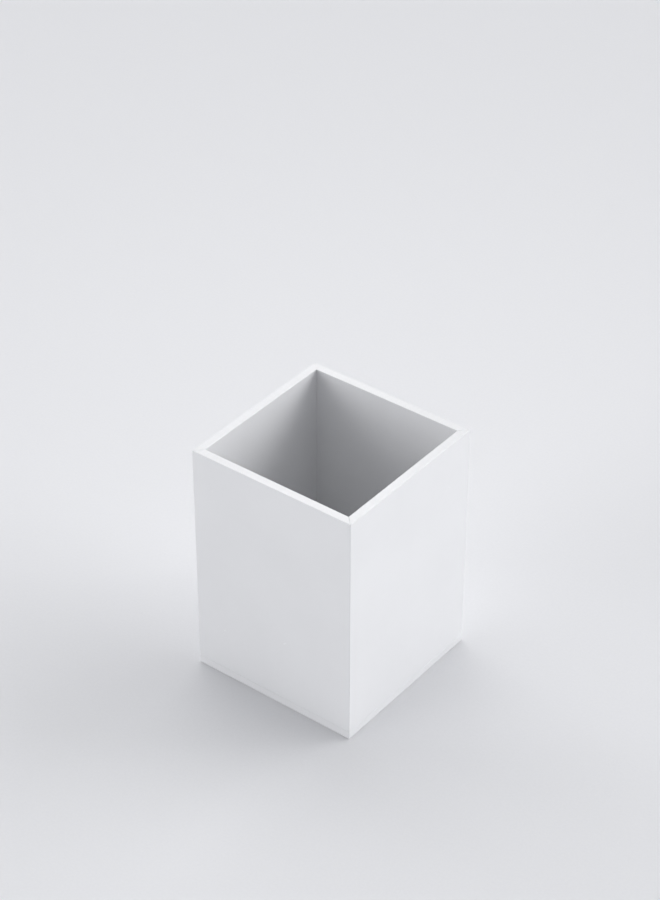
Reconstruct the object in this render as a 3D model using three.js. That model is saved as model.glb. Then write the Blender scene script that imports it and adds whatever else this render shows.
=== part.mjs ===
// A square desk cup for pens, open at the top, made from flat sheet.
//
// Four wall panels stand on a base plate as wide as the cup. The panels are mitred
// at 45 degrees, so their joints run down the corners and cross the rim diagonally.
// The base plate's edge shows all round under the walls, with one level seam above it.
// The cup stands flat on the base plate's underside.
//
// Millimetres, +Z up. The origin is the middle of the footprint, on the desk.
// The front faces -Y and the right side faces +X.

import * as THREE from 'three';

// Driving dimensions

const CUP_WIDTH = 75; // outside, the same both ways
const SHEET = 3.5; // thickness of the walls and of the base plate
const WALL_HEIGHT = 101; // from the base plate's top to the rim

// Half widths of the square outlines

const OUTSIDE = CUP_WIDTH / 2;
const INSIDE = OUTSIDE - SHEET;

// Each side's name, with the quarter turns that take a panel from the front to it

const SIDES = [
  ['front', 0],
  ['right', 1],
  ['back', 2],
  ['left', 3],
];

/** Polished opaque white acrylic. */
function whiteAcrylic() {
  return new THREE.MeshStandardMaterial({ color: 0xeff0f3, roughness: 0.15, metalness: 0 });
}

/** A closed outline through the given points, each as [x, y]. */
function outlineThrough(points) {
  return new THREE.Shape(points.map(([x, y]) => new THREE.Vector2(x, y)));
}

/** A flat piece of sheet or a panel: an upright prism on the given outline. */
function prism(points, height) {
  return new THREE.ExtrudeGeometry(outlineThrough(points), { depth: height, bevelEnabled: false });
}

/** One wall panel. Seen from above it is a trapezoid, longer outside by a mitre at each end. */
function makeWall(side, quarterTurns) {
  const outline = [
    [-OUTSIDE, -OUTSIDE],
    [OUTSIDE, -OUTSIDE],
    [INSIDE, -INSIDE],
    [-INSIDE, -INSIDE],
  ];
  const wall = new THREE.Mesh(prism(outline, WALL_HEIGHT), whiteAcrylic());
  wall.name = `wall_${side}`;
  wall.position.z = SHEET; // on the base plate
  wall.rotation.z = (quarterTurns * Math.PI) / 2;
  return wall;
}

/** The square plate that the walls stand on. */
function makeBasePlate() {
  const outline = [
    [-OUTSIDE, -OUTSIDE],
    [OUTSIDE, -OUTSIDE],
    [OUTSIDE, OUTSIDE],
    [-OUTSIDE, OUTSIDE],
  ];
  const plate = new THREE.Mesh(prism(outline, SHEET), whiteAcrylic());
  plate.name = 'base_plate';
  return plate;
}

const walls = new THREE.Group();
for (const [side, quarterTurns] of SIDES) {
  walls.add(makeWall(side, quarterTurns));
}

const penCup = new THREE.Group();
penCup.add(makeBasePlate(), walls);

export default penCup;
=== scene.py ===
"""Looks for a square pen cup of polished white acrylic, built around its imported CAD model.

The CAD gives each panel's box. Here each panel is lofted again from its real cross-section, with
broken edges, mitred ends, a hairline bond line and a small fillet of cement inside the joints.
Everything is in metres, +Z up, in the CAD model's frame.
"""

import math

import bmesh
import bpy
from mathutils import Matrix, Vector


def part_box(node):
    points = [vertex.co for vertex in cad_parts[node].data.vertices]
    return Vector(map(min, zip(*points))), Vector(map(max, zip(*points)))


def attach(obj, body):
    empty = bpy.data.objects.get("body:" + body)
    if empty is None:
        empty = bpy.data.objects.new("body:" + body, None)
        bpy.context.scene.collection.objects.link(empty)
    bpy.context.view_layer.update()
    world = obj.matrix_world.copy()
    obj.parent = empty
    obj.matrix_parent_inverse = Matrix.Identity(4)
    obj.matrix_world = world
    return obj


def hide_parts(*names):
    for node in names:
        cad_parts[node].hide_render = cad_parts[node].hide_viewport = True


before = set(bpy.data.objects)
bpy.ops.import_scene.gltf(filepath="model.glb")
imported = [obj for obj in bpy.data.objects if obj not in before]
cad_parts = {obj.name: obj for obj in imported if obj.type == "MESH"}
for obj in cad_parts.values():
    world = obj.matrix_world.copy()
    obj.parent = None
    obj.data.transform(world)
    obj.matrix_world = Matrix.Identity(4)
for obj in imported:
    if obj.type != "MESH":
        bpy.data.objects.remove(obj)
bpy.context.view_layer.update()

MM = 0.001

# Edge details of the panels and plate

RIM_BREAK = 0.18 * MM  # rounding of the rim's long edges
WALL_FOOT_BREAK = 0.27 * MM  # rounding of the walls' lower edges, above the seam
PLATE_TOP_BREAK = 0.12 * MM  # rounding of the base plate's upper edge, below the seam
PLATE_FOOT_RISE = 0.2 * MM  # the buffed lower edge of the base plate: how high it curves up
PLATE_FOOT_RUN = 1.5 * MM  # and how far in under the plate it starts
CORNER_BREAK = 0.12 * MM  # rounding down the cup's outside corners
CEMENT_FILLET = 0.4 * MM  # radius of the cement left in the inside corners
ARC_STEPS = 5  # straight steps in each quarter or eighth of a circle

# The camera, as the lens sees the cup

CAMERA_AZIMUTH = math.radians(37.76)  # from the front towards the right
CAMERA_ELEVATION = math.radians(35.94)
CAMERA_DISTANCE = 979.8 * MM  # from the point that the lens is aimed at
AIM_HEIGHT = 52.5 * MM  # of the point on the cup's axis that the aim is measured from
AIM_RAISED = 38.31 * MM  # square to the line of sight
AIM_LEFT = 0.72 * MM
LENS_MM = 100.36
SENSOR_MM = 36.0

# What the CAD model measures

WALL_LOW, WALL_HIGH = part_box("wall_front")
PLATE_LOW, PLATE_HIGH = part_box("base_plate")
HALF_WIDTH = PLATE_HIGH.x
SHEET = WALL_HIGH.y - WALL_LOW.y
RIM = WALL_HIGH.z
SEAM = PLATE_HIGH.z

SIDES = ("front", "right", "back", "left")  # each a quarter turn on from the last

# The mitred joints are bonded by hand, so each differs a little. In the order of SIDES, each is
# where that side meets the next: half the width of the gap that the solvent cement fills, and the
# rounding of the mitred edges where they meet in the rim.

JOINTS = (
    (0.015 * MM, 0.2 * MM),
    (0.02 * MM, 0.2 * MM),
    (0.006 * MM, 0.06 * MM),
    (0.03 * MM, 0.2 * MM),
)


# Shapes


def pulled_in(distance, rise, run=None):
    """How far a quarter round pulls a face in, at this distance from its edge.

    It is a circle, or an ellipse when it runs further in than it rises.
    """
    short = 1 - min(max(distance / rise, 0.0), 1.0)
    return (run or rise) * (1 - math.sqrt(1 - short**2))


def arc_distances(radius):
    """Distances from an edge that step evenly round its quarter round."""
    quarter = math.pi / 2
    return [radius * (1 - math.cos(quarter * step / ARC_STEPS)) for step in range(ARC_STEPS + 1)]


def arc(centre_x, centre_y, radius, start, end, steps=ARC_STEPS):
    """Points along an arc, between two angles in degrees."""
    points = []
    for step in range(steps + 1):
        angle = math.radians(start + (end - start) * step / steps)
        points.append((centre_x + radius * math.cos(angle), centre_y + radius * math.sin(angle)))
    return points


def wall_end(height, joint):
    """Points round the front wall's +X end at this height, from its outer face to its inner one."""
    gap, mitre_break = joint
    above_seam = height - SEAM
    below_rim = RIM - height
    rim_inset = pulled_in(below_rim, RIM_BREAK)
    outer_face = -HALF_WIDTH + pulled_in(above_seam, WALL_FOOT_BREAK) + rim_inset
    inner_face = -HALF_WIDTH + SHEET + pulled_in(above_seam, CEMENT_FILLET) - rim_inset
    shortened = math.sqrt(2) * (gap + pulled_in(below_rim, mitre_break))  # along X, across a mitre
    outer_centre = outer_face + CORNER_BREAK
    inner_centre = inner_face + CEMENT_FILLET
    outer = arc(-outer_centre - shortened, outer_centre, CORNER_BREAK, -90, -45)
    inner = arc(-inner_centre - shortened, inner_centre, CEMENT_FILLET, -45, -90)
    return outer + inner


def wall_section(height, index):
    """A wall's outline at this height, anticlockwise from above, as it lies at the front."""
    right_end = wall_end(height, JOINTS[index])
    left_end = [(-x, y) for x, y in reversed(wall_end(height, JOINTS[index - 1]))]
    return right_end + left_end


def plate_section(height):
    """The base plate's outline at this height, anticlockwise from above."""
    inset = pulled_in(height - PLATE_LOW.z, PLATE_FOOT_RISE, PLATE_FOOT_RUN)
    inset += pulled_in(SEAM - height, PLATE_TOP_BREAK)
    centre = HALF_WIDTH - inset - CORNER_BREAK
    points = []
    for quarter, (x_sign, y_sign) in enumerate(((1, -1), (1, 1), (-1, 1), (-1, -1))):
        start = 90 * quarter - 90
        points += arc(x_sign * centre, y_sign * centre, CORNER_BREAK, start, start + 90, 2 * ARC_STEPS)
    return points


def without_repeats(heights):
    """The heights from lowest to highest, each once, to a tenth of a micrometre."""
    return sorted({round(height, 7) for height in heights})


def loft(name, section, heights, turn=0.0):
    """A closed piece through the section at each height, lowest first, turned about the cup's axis."""
    mesh = bpy.data.meshes.new(name)
    shape = bmesh.new()
    rings = []
    for height in heights:
        rings.append([shape.verts.new((x, y, height)) for x, y in section(height)])
    for lower, upper in zip(rings, rings[1:]):
        for index in range(len(lower)):
            after = (index + 1) % len(lower)
            shape.faces.new((lower[index], lower[after], upper[after], upper[index]))
    shape.faces.new(list(reversed(rings[0])))
    shape.faces.new(rings[-1])
    turned = Matrix.Rotation(turn, 3, "Z")
    bmesh.ops.rotate(shape, verts=shape.verts, cent=(0, 0, 0), matrix=turned)
    for face in shape.faces:
        face.smooth = True
    shape.to_mesh(mesh)
    shape.free()
    piece = bpy.data.objects.new(name, mesh)
    bpy.context.scene.collection.objects.link(piece)
    shading = piece.modifiers.new("even shading", "WEIGHTED_NORMAL")
    shading.weight = 100  # the large flat faces keep their own normals
    return piece


def in_rim(face):
    """Whether a wall's face is part of its cut top edge, rounding included."""
    return face.center.z > RIM - RIM_BREAK


def paint(piece, material, rim_material=None):
    """Gives a piece its material, and the faces in the rim one of their own."""
    piece.data.materials.append(material)
    if rim_material is None:
        return
    piece.data.materials.append(rim_material)
    for face in piece.data.polygons:
        face.material_index = 1 if in_rim(face) else 0


def place(piece, node):
    """Makes a piece stand for its CAD node."""
    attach(piece, "root")
    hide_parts(node)


# Materials. The scale of a noise is roughly its number of features in a metre.

ACRYLIC_WHITE = (0.80, 0.804, 0.816)
ACRYLIC_SHADE = (0.785, 0.789, 0.801)
# The rim's two tones are lighter than the faces' white: painted light on the cut top edge, where the
# light from above falls. The spread between them is its real saw ripples.
RIM_WHITE_WITH_PAINTED_LIGHT = (0.83, 0.834, 0.846)
RIM_RIPPLE_TONE_WITH_PAINTED_LIGHT = (0.812, 0.816, 0.828)
ACRYLIC_IOR = 1.49

MOST_OF_NOISE = (0.3, 0.7)  # the range that nearly all of a noise's values are in

CLOUD_SCALE = 35.0  # patches of slightly different white
WAVE_SCALE = 28.0  # slow waves in the polished face
WAVE_DEPTH = 0.03 * MM
HAZE_SCALE = 90.0  # dulling by handling
HAZE_RANGE = (0.35, 0.75)
HAZE_ROUGHNESS = (0.07, 0.15)  # from a clean face to the most handled

MARK_TURNS = ((20, 35, 25), (-50, 15, -40))  # the ways that hairline marks run, in degrees
MARK_STRETCH = (45.0, 2600.0, 2600.0)  # noise scales along a mark and across it
MARK_PEAKS = (0.74, 0.80)  # only the highest streaks are marks
MARKED_PATCH_SCALE = 60.0
MARKED_PATCHES = (0.5, 0.62)  # and only in the higher patches
MARK_ROUGHNESS = 0.15  # added to the face's
MARK_DEPTH = 0.002 * MM

RIPPLE_SCALE = 1100.0  # saw marks left across the polished rim
RIPPLE_DEPTH = 0.001 * MM
RIM_WAVE_SCALE = 160.0  # slower waves under the saw marks
RIM_WAVE_DEPTH = 0.006 * MM
RIM_ROUGHNESS = (0.06, 0.13)
RIPPLE_STRETCH = 0.06  # scale across the rim, as a share of the scale along it

WALL_SHIFT = (0.31, 0.17, 0.23)  # from each wall's patterns to the next wall's
PLATE_SHIFT = (1.3, 0.7, 0.4)


class Shader:
    """A material with a Principled shader, and short ways to add nodes to it."""

    def __init__(self, name):
        self.material = bpy.data.materials.new(name)
        self.material.use_nodes = True
        self.nodes = self.material.node_tree.nodes
        self.links = self.material.node_tree.links
        self.surface = self.nodes["Principled BSDF"]
        self.coordinates = self.nodes.new("ShaderNodeTexCoord").outputs["Object"]

    def join(self, value, socket):
        """Links an output to an input, or sets the input to a number."""
        if isinstance(value, bpy.types.NodeSocket):
            self.links.new(value, socket)
        else:
            socket.default_value = value

    def mapped(self, stretch=(1, 1, 1), turn=(0, 0, 0), shift=(0, 0, 0)):
        """The piece's own coordinates, turned by degrees, shifted, and then stretched."""
        turned = self.nodes.new("ShaderNodeMapping")
        turned.inputs["Rotation"].default_value = [math.radians(angle) for angle in turn]
        turned.inputs["Location"].default_value = shift
        self.links.new(self.coordinates, turned.inputs["Vector"])
        stretched = self.nodes.new("ShaderNodeVectorMath")
        stretched.operation = "MULTIPLY"
        stretched.inputs[1].default_value = stretch
        self.links.new(turned.outputs["Vector"], stretched.inputs[0])
        return stretched.outputs["Vector"]

    def noise(self, vector, scale, detail, roughness=0.5):
        """Smooth noise between 0 and 1, with finer noise added in octaves."""
        node = self.nodes.new("ShaderNodeTexNoise")
        node.inputs["Scale"].default_value = scale
        node.inputs["Detail"].default_value = detail
        node.inputs["Roughness"].default_value = roughness
        self.links.new(vector, node.inputs["Vector"])
        return node.outputs["Fac"]

    def ranged(self, value, span, results=(0.0, 1.0)):
        """Eases from the first result to the second as the value crosses the span."""
        node = self.nodes.new("ShaderNodeMapRange")
        node.interpolation_type = "SMOOTHSTEP"
        self.join(value, node.inputs["Value"])
        node.inputs["From Min"].default_value = span[0]
        node.inputs["From Max"].default_value = span[1]
        node.inputs["To Min"].default_value = results[0]
        node.inputs["To Max"].default_value = results[1]
        return node.outputs["Result"]

    def math(self, operation, first, second):
        """One Math node."""
        node = self.nodes.new("ShaderNodeMath")
        node.operation = operation
        self.join(first, node.inputs[0])
        self.join(second, node.inputs[1])
        return node.outputs["Value"]

    def blend(self, factor, first, second):
        """A colour between two others."""
        node = self.nodes.new("ShaderNodeMix")
        node.data_type = "RGBA"
        self.join(factor, node.inputs["Factor"])
        node.inputs["A"].default_value = (*first, 1)
        node.inputs["B"].default_value = (*second, 1)
        return node.outputs["Result"]

    def bump(self, height, distance, after=None):
        """A surface direction bumped by a height, on top of an earlier bump if there is one."""
        node = self.nodes.new("ShaderNodeBump")
        node.inputs["Distance"].default_value = distance
        self.links.new(height, node.inputs["Height"])
        if after is not None:
            self.links.new(after, node.inputs["Normal"])
        return node.outputs["Normal"]

    def finished(self, colour, roughness, normal):
        """The material as acrylic, with this colour, roughness and surface direction."""
        self.join(colour, self.surface.inputs["Base Color"])
        self.join(roughness, self.surface.inputs["Roughness"])
        self.join(normal, self.surface.inputs["Normal"])
        self.surface.inputs["IOR"].default_value = ACRYLIC_IOR
        return self.material


def hairline_marks(shader, turn, shift):
    """Sparse marks along one direction: long thin streaks of noise, kept only at their peaks."""
    streaks = shader.noise(shader.mapped(MARK_STRETCH, turn, shift), 1.0, detail=0.0)
    patches = shader.noise(shader.mapped(shift=shift), MARKED_PATCH_SCALE, detail=1.0)
    marks = shader.ranged(streaks, MARK_PEAKS)
    return shader.math("MULTIPLY", marks, shader.ranged(patches, MARKED_PATCHES))


def white_acrylic(name, shift):
    """A polished sheet face: nearly even white, with faint waves, haze and hairline marks."""
    shader = Shader(name)
    position = shader.mapped(shift=shift)
    clouds = shader.noise(position, CLOUD_SCALE, detail=3.0)
    waves = shader.noise(position, WAVE_SCALE, detail=1.0)
    haze = shader.noise(position, HAZE_SCALE, detail=4.0, roughness=0.6)
    marks = shader.math("MAXIMUM", *(hairline_marks(shader, turn, shift) for turn in MARK_TURNS))
    colour = shader.blend(shader.ranged(clouds, MOST_OF_NOISE), ACRYLIC_SHADE, ACRYLIC_WHITE)
    hazy = shader.ranged(haze, HAZE_RANGE, HAZE_ROUGHNESS)
    dulled = shader.math("ADD", hazy, shader.math("MULTIPLY", marks, MARK_ROUGHNESS))
    marked = shader.bump(marks, MARK_DEPTH, after=shader.bump(waves, WAVE_DEPTH))
    return shader.finished(colour, dulled, marked)


def polished_rim_with_painted_light(name, shift, run):
    """A sheet's cut edge along the axis run, flame polished over the fine ripples of the saw. Both its
    tones are painted lighter than the faces' white, as painted light on the cup's top edge.
    """
    shader = Shader(name)
    stretch = [1.0 if axis == run else RIPPLE_STRETCH for axis in "XYZ"]
    position = shader.mapped(stretch, shift=shift)
    ripples = shader.noise(position, RIPPLE_SCALE, detail=2.0)
    waves = shader.noise(position, RIM_WAVE_SCALE, detail=1.0)
    # painted light: both rim tones are lighter than the faces', as a painted highlight on the top edge
    colour = shader.blend(shader.ranged(ripples, MOST_OF_NOISE), RIM_RIPPLE_TONE_WITH_PAINTED_LIGHT, RIM_WHITE_WITH_PAINTED_LIGHT)
    roughness = shader.ranged(waves, MOST_OF_NOISE, RIM_ROUGHNESS)
    rippled = shader.bump(ripples, RIPPLE_DEPTH, after=shader.bump(waves, RIM_WAVE_DEPTH))
    return shader.finished(colour, roughness, rippled)


# The camera


def direction(azimuth, elevation):
    """The way out from the cup at these angles. Azimuth 0 is in front, a quarter turn is right."""
    return Vector(
        (
            math.cos(elevation) * math.sin(azimuth),
            -math.cos(elevation) * math.cos(azimuth),
            math.sin(elevation),
        )
    )


def make_camera():
    """The camera, looking down at the cup without any roll, and aimed above the cup's middle."""
    back = direction(CAMERA_AZIMUTH, CAMERA_ELEVATION)
    right = (-back).cross(Vector((0, 0, 1))).normalized()
    up = right.cross(-back)
    aim = Vector((0, 0, AIM_HEIGHT)) + up * AIM_RAISED - right * AIM_LEFT
    data = bpy.data.cameras.new("camera")
    data.lens = LENS_MM
    data.sensor_width = SENSOR_MM
    camera = bpy.data.objects.new("camera", data)
    bpy.context.scene.collection.objects.link(camera)
    axes = Matrix((right, up, back)).transposed().to_4x4()
    camera.matrix_world = Matrix.Translation(aim + back * CAMERA_DISTANCE) @ axes
    bpy.context.scene.camera = camera


# The object


def make_wall(index, side):
    """One wall panel, turned to its side of the cup."""
    top_radii = (RIM_BREAK, JOINTS[index][1], JOINTS[index - 1][1])
    top = [RIM - distance for radius in top_radii for distance in arc_distances(radius)]
    foot_radii = (WALL_FOOT_BREAK, CEMENT_FILLET)
    bottom = [SEAM + distance for radius in foot_radii for distance in arc_distances(radius)]
    heights = without_repeats(bottom + top)
    turn = math.pi / 2 * index
    wall = loft(f"panel_{side}", lambda height: wall_section(height, index), heights, turn)
    shift = [step * index for step in WALL_SHIFT]
    run = "X" if side in ("front", "back") else "Y"
    face_material = white_acrylic(f"white acrylic {side}", shift)
    paint(wall, face_material, polished_rim_with_painted_light(f"polished edge with painted light {side}", shift, run))
    place(wall, f"wall_{side}")


def make_plate():
    """The base plate that the walls stand on."""
    bottom = [PLATE_LOW.z + distance for distance in arc_distances(PLATE_FOOT_RISE)]
    top = [SEAM - distance for distance in arc_distances(PLATE_TOP_BREAK)]
    plate = loft("plate", plate_section, without_repeats(bottom + top))
    paint(plate, white_acrylic("white acrylic base", PLATE_SHIFT))
    place(plate, "base_plate")


# The studio

FLOOR_RADIUS = 6.0
FLOOR_SIDES = 96
FLOOR_WHITE = (0.80, 0.8046, 0.8218)
FLOOR_SHADE = [0.985 * tone for tone in FLOOR_WHITE]  # the darker end of its grain
FLOOR_GRAIN_SCALE = 900.0
FLOOR_ROUGHNESS = 0.8

WORLD_TONES = ((0, 0.712), (12, 0.712), (30, 0.328), (90, 0.284))  # elevation in degrees, tone
WORLD_TINT = (1.0, 1.009, 1.047)  # a cool white, as the lit floor looks, so that no horizon shows

FAR_LIGHT_SPREAD = math.radians(40)  # how wide each one looks from the cup
FAR_LIGHTS = (  # name, azimuth and elevation in degrees, watts per square metre
    ("right", 120, 10, 1.38),
    ("back right", 150, 35, 0.871),
    ("high back left", -150, 55, 0.35),
    ("back left", -120, 35, 0.295),
    ("left", -90, 35, 0.476),
    ("front left", -30, 10, 1.063),
)

OVERHEAD_PLACE = (-0.09, 0.12, 0.42)
OVERHEAD_SIZE = 0.25
OVERHEAD_POWER = 0.209  # watts


def make_floor():
    """A matte pale floor with a fine grain, that reaches far past the cup."""
    mesh = bpy.data.meshes.new("floor")
    shape = bmesh.new()
    bmesh.ops.create_circle(shape, cap_ends=True, radius=FLOOR_RADIUS, segments=FLOOR_SIDES)
    shape.to_mesh(mesh)
    shape.free()
    floor = bpy.data.objects.new("floor", mesh)
    bpy.context.scene.collection.objects.link(floor)
    shader = Shader("matte floor")
    grain = shader.noise(shader.mapped(), FLOOR_GRAIN_SCALE, detail=4.0)
    colour = shader.blend(shader.ranged(grain, MOST_OF_NOISE), FLOOR_SHADE, FLOOR_WHITE)
    shader.join(colour, shader.surface.inputs["Base Color"])
    shader.surface.inputs["Roughness"].default_value = FLOOR_ROUGHNESS
    shader.surface.inputs["Specular IOR Level"].default_value = 0.0
    floor.data.materials.append(shader.material)


def add_light(name, kind, energy):
    """A light that the camera doesn't see."""
    data = bpy.data.lights.new(name, kind)
    data.energy = energy
    light = bpy.data.objects.new(name, data)
    bpy.context.scene.collection.objects.link(light)
    light.visible_camera = False
    return light


def make_far_light(name, azimuth, elevation, brightness):
    """A wide soft light from far off, even all over the floor."""
    towards = direction(math.radians(azimuth), math.radians(elevation))
    light = add_light(name, "SUN", brightness)
    light.data.angle = FAR_LIGHT_SPREAD
    light.rotation_mode = "QUATERNION"
    light.rotation_quaternion = towards.to_track_quat("Z", "Y")


def make_overhead_light():
    """A low round soft box that makes a pool of light on the floor round and behind the cup."""
    light = add_light("overhead", "AREA", OVERHEAD_POWER)
    light.data.shape = "DISK"
    light.data.size = OVERHEAD_SIZE
    light.location = OVERHEAD_PLACE


def make_world():
    """A plain pale surround whose tone changes only with the height above the horizon."""
    world = bpy.data.worlds.new("studio")
    world.use_nodes = True
    nodes = world.node_tree.nodes
    links = world.node_tree.links
    parts = nodes.new("ShaderNodeSeparateXYZ")
    links.new(nodes.new("ShaderNodeTexCoord").outputs["Generated"], parts.inputs["Vector"])
    ramp = nodes.new("ShaderNodeValToRGB")
    links.new(parts.outputs["Z"], ramp.inputs["Fac"])
    links.new(ramp.outputs["Color"], nodes["Background"].inputs["Color"])
    stops = ramp.color_ramp.elements
    for _ in WORLD_TONES[2:]:  # a new ramp has two stops
        stops.new(1.0)
    for stop, (elevation, tone) in zip(stops, WORLD_TONES):
        stop.position = math.sin(math.radians(elevation))
        stop.color = (*(tone * tint for tint in WORLD_TINT), 1)
    bpy.context.scene.world = world


make_camera()
for index, side in enumerate(SIDES):
    make_wall(index, side)
make_plate()
make_floor()
make_world()
for far_light in FAR_LIGHTS:
    make_far_light(*far_light)
make_overhead_light()
bpy.context.scene.view_settings.view_transform = "Standard"
